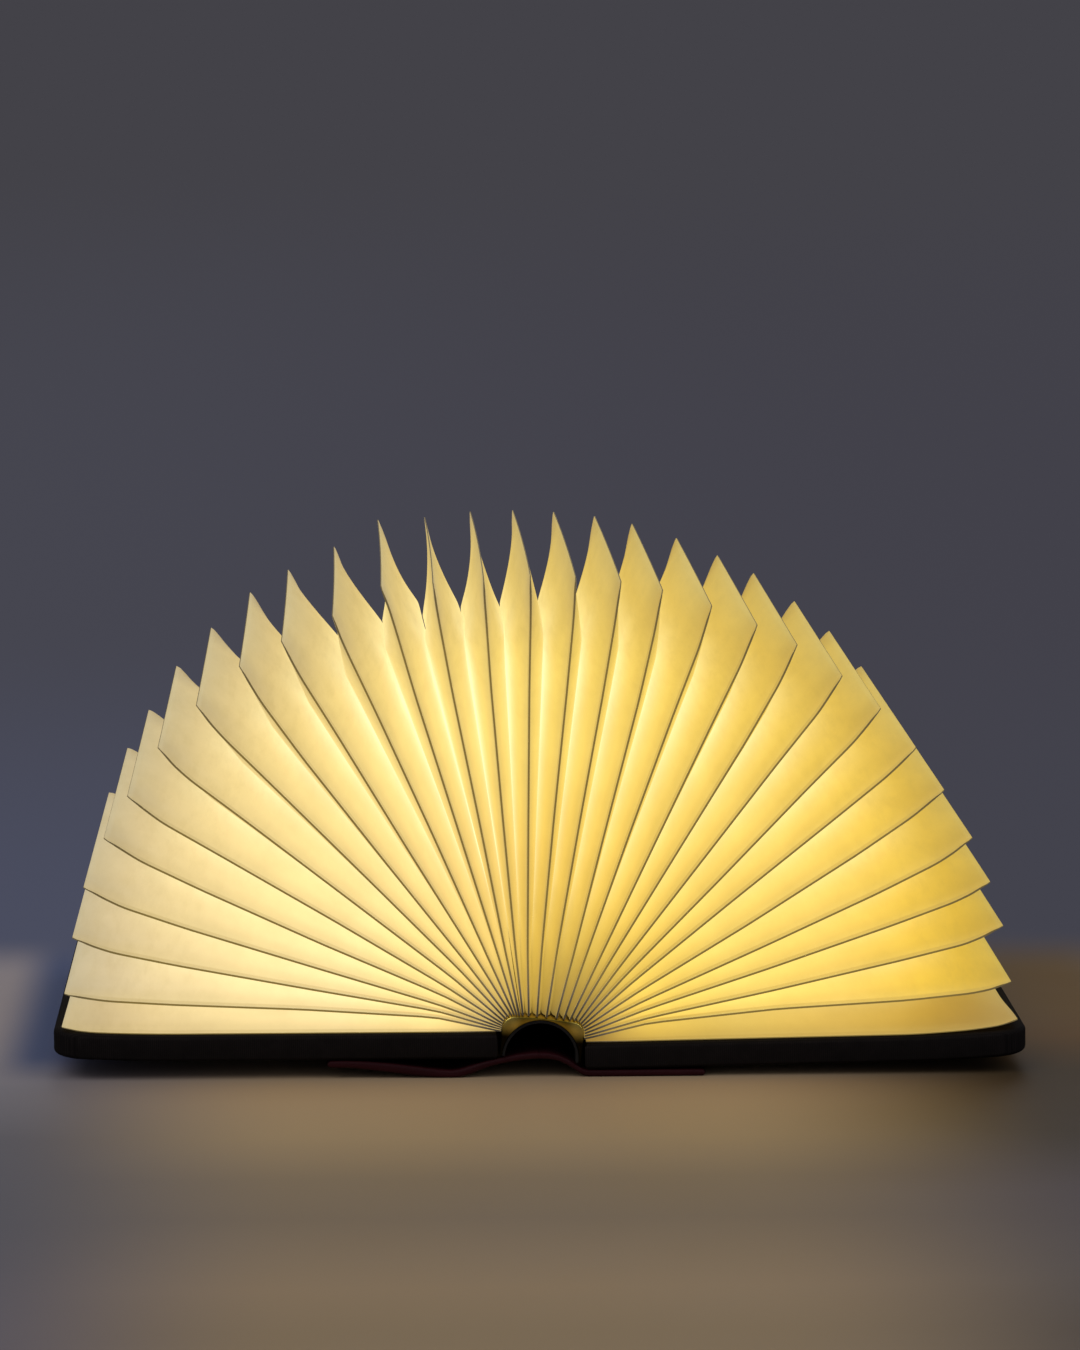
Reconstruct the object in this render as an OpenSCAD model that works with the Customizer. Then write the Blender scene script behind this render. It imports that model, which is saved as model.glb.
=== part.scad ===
// Folding book lamp, opened flat: a fan of paper pocket pages over a gold
// spine channel, two cloth-wrapped cover boards and a leather spine strip.
// +X to the right cover, +Y to the back, +Z up. Sizes in mm.

/* [Book] */
// length of the spine, and of the boards along it
book_d = 215; // [150:1:260]
// width of one cover board, from its inner to its outer edge
board_w = 169; // [110:1:200]
// thickness of one cover board, cloth included
board_t = 10.4; // [6:0.1:16]
// plan radius of the boards' outer corners
board_corner_r = 9; // [2:0.5:20]
// radius of the boards' padded edges
board_edge_r = 1.8; // [0.5:0.1:3]
// thickness of the book cloth
cloth_t = 0.7; // [0.4:0.1:1.5]
// width of the cloth turned in over the inner face
turn_in = 15; // [8:1:25]
// gap between a board's inner edge and the middle of the spine channel
board_inner_x = 16.9; // [16.5:0.1:20]
// height of the left board over the table: it rides on the strip's wave
left_board_z = 7.1; // [3:0.1:8]
// rise of the right board towards its outer edge, in degrees
right_tilt = 0.9; // [0:0.1:1.5]

/* [Spine channel] */
// width of the gold channel
channel_w = 31.4; // [24:0.1:40]
// height of the channel's top over the table
channel_top_z = 23.3; // [18:0.1:30]
// height of the leg ends over the table
channel_foot_z = 7.2; // [5:0.1:10]
// radius of the channel's shoulders
shoulder_r = 4.6; // [2:0.1:8]
// radius of the arched bore
arch_r = 14.7; // [9:0.1:15]
// height of the arch's centre over the table
arch_z = 7.6; // [5:0.1:12]
// lean of the channel towards the right cover
channel_lean = 6; // [0:0.5:8]
// thickness of the black arch liner
liner_t = 1; // [0.6:0.1:2]

/* [Spine strip] */
// thickness of the leather strip
strip_t = 2.7; // [1.5:0.1:3.5]
// reach of the strip under the left board
strip_left_x = 82; // [60:1:100]
// reach of the strip under the right board
strip_right_x = 63; // [40:1:90]
// height of the strip's arch inside the channel, to its upper face
strip_arch_z = 9.6; // [5:0.1:12]
// offset of the arch's crown from the middle
strip_arch_x = -0.6; // [-4:0.1:4]

/* [Pages] */
// number of paper pocket pages between the two end leaves
page_count = 28; // [28:1:28]
// length of a page from its root to its fore-edge fold
page_len = 168; // [110:1:190]
// thickness of one leaf
leaf_t = 0.2; // [0.1:0.05:0.4]
// width of the glued seam along a page's front and back edge
seam_w = 4; // [2:0.5:8]
// thickness of the glued seam
seam_t = 0.5; // [0.3:0.1:1]
// height of the air gap between page roots and the channel
root_gap = 0.9; // [0.5:0.1:3]
// half the fan's opening angle, to the first and the last page
fan_half = 84.2; // [60:0.1:86]
// how far the pages crowd together at the covers
fan_crowd = -3.6; // [-8:0.1:8]
// sideways lean of the middle pages
fan_sway = 0.9; // [-4:0.1:4]
// second wave of that lean
fan_ripple = 0.75; // [-4:0.1:4]
// where a pocket stops widening, as a share of the page length
shoulder_share = 0.86; // [0.6:0.01:0.95]
// half the thickness that a pocket could reach at mid-depth
pocket_rise = 13; // [6:0.5:20]
// half the air gap between neighbouring pockets
page_clear = 0.15; // [0.1:0.01:0.5]

/* [Light and battery] */
// width of the LED tape
tape_w = 8; // [5:0.5:10]
// thickness of the LED tape
tape_t = 0.2; // [0.2:0.1:0.4]
// number of LEDs on the tape
led_count = 18; // [6:1:30]
// edge of one square LED
led_a = 2.8; // [2:0.1:5]
// height of one LED
led_h = 0.5; // [0.4:0.1:0.7]
// battery pouch width
cell_w = 18; // [12:1:20]
// battery pouch height
cell_h = 5; // [3:0.1:6]
// battery pouch length
cell_len = 100; // [50:1:120]
// magnet radius
magnet_r = 6; // [3:0.5:10]
// magnet height
magnet_h = 3; // [1:0.5:5]

/* [Hidden] */
$fn = 48;
eps = 0.01;
fit = 0.05;
right_board_z = strip_t;
half_d = book_d / 2;
crown_z = arch_z + arch_r;
groove_d = 0.5;
groove_len = book_d - 12;
lens_fn = 84;
tip_steps = 5;
lens_w = half_d - seam_w;

// the board nearest the origin sits between its cloth's two skins
core_t = board_t - 2 * cloth_t;
core_w = board_w - 2 * cloth_t;
core_d = book_d - 2 * cloth_t;
magnet_out = 14;
magnet_in = board_w - 18;
magnet_y = half_d - 22;

// inside of the liner, and what hangs in it
liner_r = arch_r - liner_t;
cell_top = arch_z + sqrt(pow(liner_r - 0.3, 2) - pow(cell_w / 2, 2));
block_d = 16;
port_w = 9;
port_h = 3.2;
port_d = 7.4;
port_r = 1.5;
port_z = 14;
pcb_t = 1.2;
pcb_w = 15;
pcb_d = 30;
pcb_z = port_z - port_h / 2 - pcb_t;
// the cell ends short of the charging board
cell_y = half_d - pcb_d - 6 - cell_len;
wire_r = 0.6;
lead_z = pcb_z + pcb_t + 1;

// ----- fan layout -----
// place of page i between -1 (first) and 1 (last)
function pos(i) = (2 * i - page_count - 1) / (page_count - 1);
// direction of page i from the vertical, positive to the right
function lean(i) = fan_half * pos(i)
    + fan_sway * cos(90 * pos(i))
    + fan_crowd * sin(180 * pos(i))
    + fan_ripple * cos(270 * pos(i));
// the roots follow the channel's outline at the root gap
path_w = channel_w / 2 + root_gap;
path_r = shoulder_r + root_gap;
path_z = channel_top_z + root_gap;
path_flat = path_w - path_r;
path_turn = path_r * PI / 2;
path_half = 21.5;
path_spread = 0.14;
path_shift = -1.5;
function along(i) = path_half * (pos(i) + path_spread * sin(180 * pos(i)))
    + path_shift * cos(90 * pos(i));
function turn(a) = (a - path_flat) / path_r * 180 / PI;
function path_x(a) = a < path_flat ? a :
    a < path_flat + path_turn ? path_flat + path_r * sin(turn(a)) : path_w;
function path_y(a) = a < path_flat ? path_z :
    a < path_flat + path_turn ? path_z - path_r + path_r * cos(turn(a)) :
    path_z - path_r - (a - path_flat - path_turn);
// a point of the channel's frame, leaned with the channel
lean_z = 11.8;
function leaned(x, z) = [
    x * cos(channel_lean) + (z - lean_z) * sin(channel_lean),
    lean_z - x * sin(channel_lean) + (z - lean_z) * cos(channel_lean)
];
function foot(i) = leaned(sign(along(i)) * path_x(abs(along(i))),
    path_y(abs(along(i))));
function way(i) = [sin(lean(i)), cos(lean(i))];
function tip(i) = foot(i) + page_len * way(i);
// distance of a point from page i's middle plane
function off_page(i, p) = abs(way(i)[1] * (p - foot(i))[0]
    - way(i)[0] * (p - foot(i))[1]);
// room for half a pocket towards neighbour k, at the root and at the fore-edge
function root_room(i, k) = k < 1 ? root_room(i, i + 1) :
    k > page_count ? root_room(i, i - 1) :
    min(off_page(i, foot(k)), off_page(k, foot(i))) / 2 - page_clear / 2;
function edge_room(i, k) = k < 1 ? edge_room(i, i + 1) :
    k > page_count ? edge_room(i, i - 1) :
    min(off_page(i, tip(k)), off_page(k, tip(i))) / 2 - page_clear;
// half thickness at the pocket's shoulder
function wide(i, k) = root_room(i, k)
    + shoulder_share * (edge_room(i, k) - root_room(i, k));

// ----- shared helpers -----
// extrude a drawing made in X and Z along the spine
module spine_run(len) {
    rotate([90, 0, 0])
        linear_extrude(height = len, center = true)
            children();
}
// lean a spine piece with the channel
module spine_pose() {
    translate([0, 0, lean_z])
        rotate([0, channel_lean, 0])
            translate([0, 0, -lean_z])
                children();
}
// cross-section of a padded board, from x = 0
module board_section(w, t, r) {
    union() {
        translate([r, 0])
            square([w - 2 * r, t]);
        translate([0, r])
            square([w, t - 2 * r]);
        for (x = [r, w - r])
            for (y = [r, t - r])
                translate([x, y])
                    circle(r, $fn = 32);
    }
}
// plan of a board with round outer corners, from x = 0 to its outer edge
module board_plan(w, d, r) {
    union() {
        translate([0, -d / 2])
            square([w - r, d]);
        translate([0, -d / 2 + r])
            square([w, d - 2 * r]);
        for (s = [-1, 1])
            translate([w - r, s * (d / 2 - r)])
                circle(r);
    }
}

// ----- spine -----
module channel_outline() {
    union() {
        translate([-channel_w / 2, channel_foot_z])
            square([channel_w, channel_top_z - shoulder_r - channel_foot_z]);
        translate([-channel_w / 2 + shoulder_r, channel_foot_z])
            square([channel_w - 2 * shoulder_r, channel_top_z - channel_foot_z]);
        for (s = [-1, 1])
            translate([s * (channel_w / 2 - shoulder_r), channel_top_z - shoulder_r])
                circle(shoulder_r);
    }
}
module arch(r) {
    translate([0, arch_z])
        circle(r);
    translate([-r, channel_foot_z - 1])
        square([2 * r, arch_z - channel_foot_z + 1]);
}
module spine_channel() {
    color([0.83, 0.62, 0.24])
        spine_pose()
            difference() {
                spine_run(book_d)
                    channel_outline();
                spine_run(book_d + 2)
                    arch(arch_r);
                // shallow groove for the LED tape
                translate([-tape_w / 2 - 0.3, -groove_len / 2, channel_top_z - groove_d])
                    cube([tape_w + 0.6, groove_len, groove_d + 1]);
                // passage for the tape's two leads, from the groove into the arch
                translate([0, wire_y, crown_z - 1])
                    cylinder(r = 1.8, h = 4);
            }
}
module arch_liner() {
    color([0.05, 0.05, 0.055])
        spine_pose()
            difference() {
                spine_run(book_d)
                    intersection() {
                        arch(arch_r - fit);
                        translate([-channel_w, channel_foot_z])
                            square([2 * channel_w, channel_top_z]);
                    }
                spine_run(book_d + 2)
                    arch(liner_r);
                translate([0, wire_y, crown_z - 3])
                    cylinder(r = 1.8, h = 4);
            }
}
// half-cosine step from 0 to 1
function ease(t) = (1 - cos(180 * max(0, min(1, t)))) / 2;
// height of the strip's lower face at x
strip_dip = -37;
strip_glue = -74;
strip_rise = -30.5;
strip_fall = 16.5;
function strip_z(x) =
    x < strip_dip ? (left_board_z - strip_t) * (1 - ease((x - strip_glue) / (strip_dip - strip_glue))) :
    x < strip_rise ? 0 :
    x < strip_arch_x ? (strip_arch_z - strip_t) * sin(90 * (x - strip_rise) / (strip_arch_x - strip_rise)) :
    (strip_arch_z - strip_t) * cos(90 * min(1, (x - strip_arch_x) / (strip_fall - strip_arch_x)));
strip_xs = concat([-strip_left_x],
    [for (k = [0 : 9]) strip_glue + k * (strip_dip - strip_glue) / 9],
    [for (k = [0 : 9]) strip_rise + k * (strip_arch_x - strip_rise) / 9],
    [for (k = [1 : 8]) strip_arch_x + k * (strip_fall - strip_arch_x) / 8],
    [strip_right_x]);
module spine_strip() {
    color([0.42, 0.10, 0.12])
        spine_run(book_d - 1)
            polygon(concat(
                [for (x = strip_xs) [x, strip_z(x)]],
                [for (k = [len(strip_xs) - 1 : -1 : 0])
                    [strip_xs[k], strip_z(strip_xs[k]) + strip_t]]));
}
module led_tape() {
    color([0.93, 0.92, 0.88])
        spine_pose()
            translate([-tape_w / 2, -groove_len / 2 + 0.5, channel_top_z - groove_d])
                difference() {
                    cube([tape_w, groove_len - 1, tape_t]);
                    translate([tape_w / 2, half_d - 6.5 + wire_y, -1])
                        cylinder(r = 1.4, h = 3);
                }
}
led_pitch = (groove_len - 12) / led_count;
module leds() {
    color([1, 0.93, 0.65])
        spine_pose()
            for (k = [0 : led_count - 1])
                translate([-led_a / 2, (k - (led_count - 1) / 2) * led_pitch - led_a / 2,
                    channel_top_z - groove_d + tape_t])
                    cube([led_a, led_a, led_h]);
}
module battery_cell() {
    color([0.55, 0.60, 0.66])
        spine_pose()
            translate([-cell_w / 2, cell_y, cell_top - cell_h])
                cube([cell_w, cell_len, cell_h]);
}
// black block that closes the arch's back end and holds the socket
module port_block() {
    color([0.06, 0.06, 0.065])
        spine_pose()
            difference() {
                translate([0, half_d - block_d / 2 - 0.4, 0])
                    spine_run(block_d)
                        intersection() {
                            arch(liner_r - fit);
                            translate([-channel_w, strip_arch_z + 0.7])
                                square([2 * channel_w, channel_top_z]);
                        }
                // seat of the socket, open to the back
                translate([-port_w / 2 - 0.1, half_d - port_d - 0.6, port_z - port_h / 2 - 0.1])
                    cube([port_w + 0.2, port_d + 2, port_h + 0.2]);
                // shelf for the charging board
                translate([-pcb_w / 2 - 0.1, half_d - block_d - 2, pcb_z - 0.1])
                    cube([pcb_w + 0.2, block_d + 2 - 1.2, pcb_t + 0.1]);
                // room over the board for its parts
                translate([-5, half_d - block_d - 2, pcb_z + pcb_t - 0.1])
                    cube([10, block_d + 2 - port_d - 0.2, 4]);
            }
}
module charge_board() {
    color([0.06, 0.27, 0.14])
        spine_pose()
            translate([-pcb_w / 2, half_d - pcb_d - 1.9, pcb_z])
                cube([pcb_w, pcb_d, pcb_t]);
}
// rounded metal shell, open to the back, with its contact tongue
module usb_socket() {
    color([0.75, 0.76, 0.78])
        spine_pose()
            translate([0, half_d - port_d / 2 - 0.5, port_z]) {
                difference() {
                    spine_run(port_d)
                        port_plan(0);
                    translate([0, 1, 0])
                        spine_run(port_d)
                            port_plan(0.35);
                }
                translate([-3.2, -port_d / 2 + 0.5, -0.35])
                    cube([6.4, port_d - 1.5, 0.7]);
            }
}
module port_plan(inset) {
    for (s = [-1, 1])
        translate([s * (port_w / 2 - port_h / 2), 0])
            circle(port_h / 2 - inset);
    square([port_w - port_h, port_h - 2 * inset], center = true);
}
module hall_switch() {
    color([0.1, 0.1, 0.1])
        spine_pose()
            translate([3, half_d - pcb_d - 0.5, pcb_z + pcb_t])
                cube([4, 3, 1.6]);
}
// the tape's leads stand on the board between two LEDs
wire_y = floor((half_d - 20) / led_pitch) * led_pitch;
cell_end = cell_y + cell_len;
module lead_wires() {
    color([0.6, 0.05, 0.05])
        spine_pose() {
            for (s = [-1, 1])
                translate([s * 0.65, wire_y, pcb_z + pcb_t])
                    cylinder(r = wire_r, h = channel_top_z - groove_d + tape_t - pcb_z - pcb_t);
            // from the cell's end to its two solder joints on the board
            for (x = [-5.4, -3.2]) {
                translate([x, cell_end, lead_z])
                    rotate([-90, 0, 0])
                        cylinder(r = wire_r, h = 6.5);
                translate([x, cell_end + 6.5, pcb_z + pcb_t])
                    cylinder(r = wire_r + 0.3, h = 1.9);
            }
        }
}

// ----- covers -----
// a cover is drawn for the right side, from its inner edge, on z = 0
module core_plate() {
    intersection() {
        translate([cloth_t, 0, cloth_t])
            linear_extrude(height = core_t)
                board_plan(core_w, core_d, board_corner_r - cloth_t);
        translate([cloth_t, 0, cloth_t])
            spine_run(book_d)
                board_section(core_w, core_t, board_edge_r - cloth_t);
        translate([-1, -core_d / 2, cloth_t])
            rotate([90, 0, 90])
                linear_extrude(height = board_w + 2)
                    board_section(core_d, core_t, board_edge_r - cloth_t);
    }
}
module cover_core() {
    difference() {
        core_plate();
        for (s = [-1, 1])
            translate([magnet_in, s * magnet_y, board_t - cloth_t - magnet_h])
                cylinder(r = magnet_r, h = magnet_h + 1);
    }
}
module cover_cloth() {
    difference() {
        intersection() {
            linear_extrude(height = board_t)
                board_plan(board_w, book_d, board_corner_r);
            spine_run(book_d + 2)
                board_section(board_w, board_t, board_edge_r);
            translate([-1, -half_d, 0])
                rotate([90, 0, 90])
                    linear_extrude(height = board_w + 2)
                        board_section(book_d, board_t, board_edge_r);
        }
        core_plate();
        // window in the inner face, covered by the end leaf
        translate([turn_in, -half_d + turn_in, board_t - cloth_t - eps])
            cube([board_w - 2 * turn_in, book_d - 2 * turn_in, 1]);
    }
}
module cover_magnets() {
    for (s = [-1, 1])
        translate([magnet_in, s * magnet_y, board_t - cloth_t - magnet_h])
            cylinder(r = magnet_r - fit, h = magnet_h);
}
// puffed pocket with its lower leaf lying on the board
leaf_out = page_len - 2;
leaf_inset = 2;
left_leaf_rise = 6.6;
right_leaf_rise = 4.4;
leaf_root = 0.6;
module cover_endleaf(leaf_rise) {
    translate([0.4, 0, board_t])
        difference() {
            union() {
                translate([0, -half_d + leaf_inset, 0])
                    cube([leaf_out, book_d - 2 * leaf_inset, seam_t]);
                endleaf_body(leaf_rise, 0);
            }
            endleaf_body(leaf_rise, leaf_t);
        }
}
module endleaf_body(leaf_rise, inset) {
    lw = half_d - leaf_inset - seam_w - inset;
    rise = leaf_rise + 1.4 - inset;
    rad = (lw * lw + rise * rise) / (2 * rise);
    r0 = inset > 0 ? -1 : 0;
    r1 = shoulder_share * leaf_out;
    intersection() {
        translate([-2, 0, rise - rad])
            rotate([0, 90, 0])
                cylinder(r = rad, h = leaf_out + 4, $fn = 150);
        spine_run(book_d)
            polygon(concat([[r0, inset], [r0, leaf_root - inset]],
                arc_points(r1, leaf_rise, leaf_out - r1, leaf_rise - seam_t, inset),
                [[leaf_out - inset, inset]]));
    }
}
module right_side() {
    translate([board_inner_x, 0, right_board_z])
        rotate([0, -right_tilt, 0])
            children();
}
module left_side() {
    mirror([1, 0, 0])
        translate([board_inner_x, 0, left_board_z])
            children();
}
cloth_black = [0.06, 0.06, 0.07];
board_brown = [0.45, 0.36, 0.26];
paper_warm = [1, 0.90, 0.62];
module left_core() {
    color(board_brown)
        left_side()
            cover_core();
}
module left_cloth() {
    color(cloth_black)
        left_side()
            cover_cloth();
}
module left_magnets() {
    color([0.8, 0.8, 0.82])
        left_side()
            cover_magnets();
}
module left_endleaf() {
    color(paper_warm)
        left_side()
            cover_endleaf(left_leaf_rise);
}
module right_core() {
    color(board_brown)
        right_side()
            cover_core();
}
module right_cloth() {
    color(cloth_black)
        right_side()
            cover_cloth();
}
module right_magnets() {
    color([0.8, 0.8, 0.82])
        right_side()
            cover_magnets();
}
module right_endleaf() {
    color(paper_warm)
        right_side()
            cover_endleaf(right_leaf_rise);
}

// ----- pages -----
// radius of the arc that runs level from a pocket's shoulder and drops by d over l
function tip_radius(l, d) = (l * l + d * d) / (2 * d);
// points of that arc, from a shoulder at [r, h], thinned by inset
function arc_points(r, h, l, d, inset, k0 = 0) = [for (k = [k0 : tip_steps])
    let (big = tip_radius(l, d), a = asin(l / big) * k / tip_steps)
    [r + (big - inset) * sin(a), max(0.05, h - big + (big - inset) * cos(a))]];
function flip(points) = [for (k = [len(points) - 1 : -1 : 0]) points[k]];
function below(points) = [for (p = points) [p[0], -p[1]]];
// outline across page i at mid-depth: r along X, half thicknesses along Y
module page_profile(i, inset) {
    a1 = wide(i, i - 1);
    b1 = wide(i, i + 1);
    r0 = inset > 0 ? -1 : 0;
    r1 = shoulder_share * page_len;
    l = page_len - r1;
    polygon(concat(
        [[r0, inset - root_room(i, i + 1)]],
        below(arc_points(r1, b1, l, b1 - seam_t / 2, inset)),
        flip(arc_points(r1, a1, l, a1 - seam_t / 2, inset)),
        [[r0, root_room(i, i - 1) - inset]]));
}
// lens across the depth: pinched at the two seams
module page_lens(inset) {
    lw = lens_w - inset * 4;
    rise = pocket_rise - inset;
    rad = (lw * lw + rise * rise) / (2 * rise);
    intersection() {
        translate([0, rise - rad])
            circle(rad, $fn = lens_fn);
        translate([0, rad - rise])
            circle(rad, $fn = lens_fn);
    }
}
module page_body(i, inset) {
    intersection() {
        linear_extrude(height = book_d + 2, center = true)
            page_profile(i, inset);
        translate([-2, 0, 0])
            rotate([90, 0, 90])
                linear_extrude(height = page_len + 4)
                    rotate([0, 0, 90])
                        page_lens(inset);
    }
}
module page(i) {
    color(paper_warm)
        translate([foot(i)[0], 0, foot(i)[1]])
            rotate([0, lean(i) - 90, 0])
                rotate([90, 0, 0])
                    difference() {
                        union() {
                            page_body(i, 0);
                            translate([0, -seam_t / 2, -half_d])
                                cube([page_len, seam_t, book_d]);
                        }
                        page_body(i, leaf_t);
                    }
}
module page_01() {
    page(1);
}
module page_02() {
    page(2);
}
module page_03() {
    page(3);
}
module page_04() {
    page(4);
}
module page_05() {
    page(5);
}
module page_06() {
    page(6);
}
module page_07() {
    page(7);
}
module page_08() {
    page(8);
}
module page_09() {
    page(9);
}
module page_10() {
    page(10);
}
module page_11() {
    page(11);
}
module page_12() {
    page(12);
}
module page_13() {
    page(13);
}
module page_14() {
    page(14);
}
module page_15() {
    page(15);
}
module page_16() {
    page(16);
}
module page_17() {
    page(17);
}
module page_18() {
    page(18);
}
module page_19() {
    page(19);
}
module page_20() {
    page(20);
}
module page_21() {
    page(21);
}
module page_22() {
    page(22);
}
module page_23() {
    page(23);
}
module page_24() {
    page(24);
}
module page_25() {
    page(25);
}
module page_26() {
    page(26);
}
module page_27() {
    page(27);
}
module page_28() {
    page(28);
}

spine_channel();
arch_liner();
spine_strip();
led_tape();
leds();
battery_cell();
port_block();
charge_board();
usb_socket();
hall_switch();
lead_wires();
left_core();
left_cloth();
left_magnets();
left_endleaf();
right_core();
right_cloth();
right_magnets();
right_endleaf();
page_01();
page_02();
page_03();
page_04();
page_05();
page_06();
page_07();
page_08();
page_09();
page_10();
page_11();
page_12();
page_13();
page_14();
page_15();
page_16();
page_17();
page_18();
page_19();
page_20();
page_21();
page_22();
page_23();
page_24();
page_25();
page_26();
page_27();
page_28();
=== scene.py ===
import math

import bmesh
import bpy
import numpy as np
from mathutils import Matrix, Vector


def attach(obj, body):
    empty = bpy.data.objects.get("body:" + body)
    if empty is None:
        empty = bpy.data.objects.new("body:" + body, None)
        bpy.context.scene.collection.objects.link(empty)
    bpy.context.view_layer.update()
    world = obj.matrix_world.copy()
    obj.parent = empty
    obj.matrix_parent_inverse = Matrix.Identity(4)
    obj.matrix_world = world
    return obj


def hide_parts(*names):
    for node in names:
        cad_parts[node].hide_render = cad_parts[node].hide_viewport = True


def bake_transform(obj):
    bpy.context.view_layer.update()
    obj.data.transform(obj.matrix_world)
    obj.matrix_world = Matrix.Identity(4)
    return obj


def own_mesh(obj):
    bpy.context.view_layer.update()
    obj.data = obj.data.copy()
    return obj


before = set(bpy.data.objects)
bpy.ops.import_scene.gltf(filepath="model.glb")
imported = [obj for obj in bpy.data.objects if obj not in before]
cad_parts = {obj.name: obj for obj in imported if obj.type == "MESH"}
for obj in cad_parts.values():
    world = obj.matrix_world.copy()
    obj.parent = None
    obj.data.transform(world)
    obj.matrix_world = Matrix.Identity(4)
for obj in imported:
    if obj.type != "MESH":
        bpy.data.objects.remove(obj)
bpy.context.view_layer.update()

MM = 0.001

# ---------------------------------------------------------------- camera
# fitted to the page corners, the board corners, the channel and the table line
CAMERA_AT = (-0.07168, -2.03683, 0.44543)
CAMERA_YAW, CAMERA_PITCH = 2.1107, 8.5178
CAMERA_LENS, CAMERA_SENSOR = 137.253, 36

cam = bpy.data.objects.new("camera", bpy.data.cameras.new("camera"))
bpy.context.collection.objects.link(cam)
yaw, pitch = math.radians(CAMERA_YAW), math.radians(CAMERA_PITCH)
aim = Vector((math.sin(yaw) * math.cos(pitch), math.cos(yaw) * math.cos(pitch), -math.sin(pitch)))
cam.location = CAMERA_AT
cam.rotation_euler = aim.to_track_quat("-Z", "Y").to_euler()
cam.data.lens = CAMERA_LENS
cam.data.sensor_width = CAMERA_SENSOR
cam.data.clip_end = 60
bpy.context.scene.camera = cam
bpy.context.scene.view_settings.view_transform = "Standard"


# ---------------------------------------------------------------- node helpers
class Mat:
    """A Principled material and short calls for the nodes that feed it."""

    def __init__(self, name, base, rough, metal=0.0):
        self.mat = bpy.data.materials.new(name)
        self.mat.use_nodes = True
        self.t = self.mat.node_tree
        self.bsdf = self.t.nodes["Principled BSDF"]
        self.put("Base Color", (*base, 1))
        self.put("Roughness", rough)
        self.put("Metallic", metal)

    def put(self, socket, value):
        self.bsdf.inputs[socket].default_value = value

    def node(self, kind, **props):
        n = self.t.nodes.new("ShaderNode" + kind)
        for k, v in props.items():
            setattr(n, k, v)
        return n

    def link(self, value, socket):
        if isinstance(value, bpy.types.NodeSocket):
            self.t.links.new(value, socket)
        else:
            socket.default_value = value

    def math(self, op, a, b=0.0, clamp=False):
        n = self.node("Math", operation=op, use_clamp=clamp)
        for v, s in zip((a, b), n.inputs):
            self.link(v, s)
        return n.outputs[0]

    def times(self, a, b):
        return self.math("MULTIPLY", a, b)

    def mix(self, fac, a, b):
        n = self.node("Mix", data_type="RGBA")
        self.link(fac, n.inputs[0])
        self.link(a if isinstance(a, bpy.types.NodeSocket) else (*a, 1), n.inputs[6])
        self.link(b if isinstance(b, bpy.types.NodeSocket) else (*b, 1), n.inputs[7])
        return n.outputs[2]

    def remap(self, value, a0, a1, b0=0.0, b1=1.0, smooth=False):
        n = self.node("MapRange", interpolation_type="SMOOTHSTEP" if smooth else "LINEAR")
        for v, s in zip((value, a0, a1, b0, b1), n.inputs):
            self.link(v, s)
        return n.outputs[0]

    def ease(self, value, a0, a1):
        """0 at a0 and 1 at a1, with a soft start and end."""
        return self.remap(value, a0, a1, smooth=True)

    def band(self, value, a0, a1, a2, a3):
        """1 between a1 and a2, falling softly to 0 at a0 and a3."""
        return self.times(self.ease(value, a0, a1), self.ease(value, a3, a2))

    def ramp(self, value, stops):
        n = self.node("ValToRGB")
        e = n.color_ramp.elements
        while len(e) < len(stops):
            e.new(0.5)
        for k, (at, colour) in enumerate(stops):
            e[k].position = at
            e[k].color = (*colour, 1)
        self.link(value, n.inputs[0])
        return n.outputs[0]

    def place(self, scale=(1, 1, 1), turn=(0, 0, 0)):
        src = self.node("TexCoord").outputs["Object"]
        m = self.node("Mapping")
        self.link(src, m.inputs[0])
        m.inputs["Scale"].default_value = scale
        m.inputs["Rotation"].default_value = turn
        return m.outputs[0]

    def noise(self, vec, scale, detail=3.0, rough=0.5):
        n = self.node("TexNoise")
        self.link(vec, n.inputs["Vector"])
        n.inputs["Scale"].default_value = scale
        n.inputs["Detail"].default_value = detail
        n.inputs["Roughness"].default_value = rough
        return n.outputs[0]

    def wave(self, vec, scale, direction, distort=0.0):
        n = self.node("TexWave", bands_direction=direction)
        self.link(vec, n.inputs["Vector"])
        n.inputs["Scale"].default_value = scale
        n.inputs["Distortion"].default_value = distort
        return n.outputs[1]

    def split(self, vec):
        """The x, y and z of a vector."""
        n = self.node("SeparateXYZ")
        self.link(vec, n.inputs[0])
        return n.outputs

    def attr(self, name):
        return self.node("Attribute", attribute_name=name).outputs["Fac"]

    def bump(self, height, strength, distance):
        n = self.node("Bump")
        n.inputs["Strength"].default_value = strength
        n.inputs["Distance"].default_value = distance
        self.link(height, n.inputs["Height"])
        self.link(n.outputs[0], self.bsdf.inputs["Normal"])

    def feed(self, socket, value):
        self.link(value, self.bsdf.inputs[socket])


def lin(r, g, b):
    """Linear colour from an 8-bit display colour."""
    return tuple(c / 255 / 12.92 if c < 10.3 else ((c / 255 + 0.055) / 1.055) ** 2.4
                 for c in (r, g, b))


def add_object(name, verts, faces):
    """A mesh object from points in metres."""
    me = bpy.data.meshes.new(name)
    me.from_pydata(verts, [], faces)
    ob = bpy.data.objects.new(name, me)
    bpy.context.collection.objects.link(ob)
    return ob


# ---------------------------------------------------------------- stage
BACKDROP = lin(67, 66, 72)
FLOOR_X, FLOOR_Y, FLOOR_STEPS = (-4, 4), (-4, 14), 40


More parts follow.
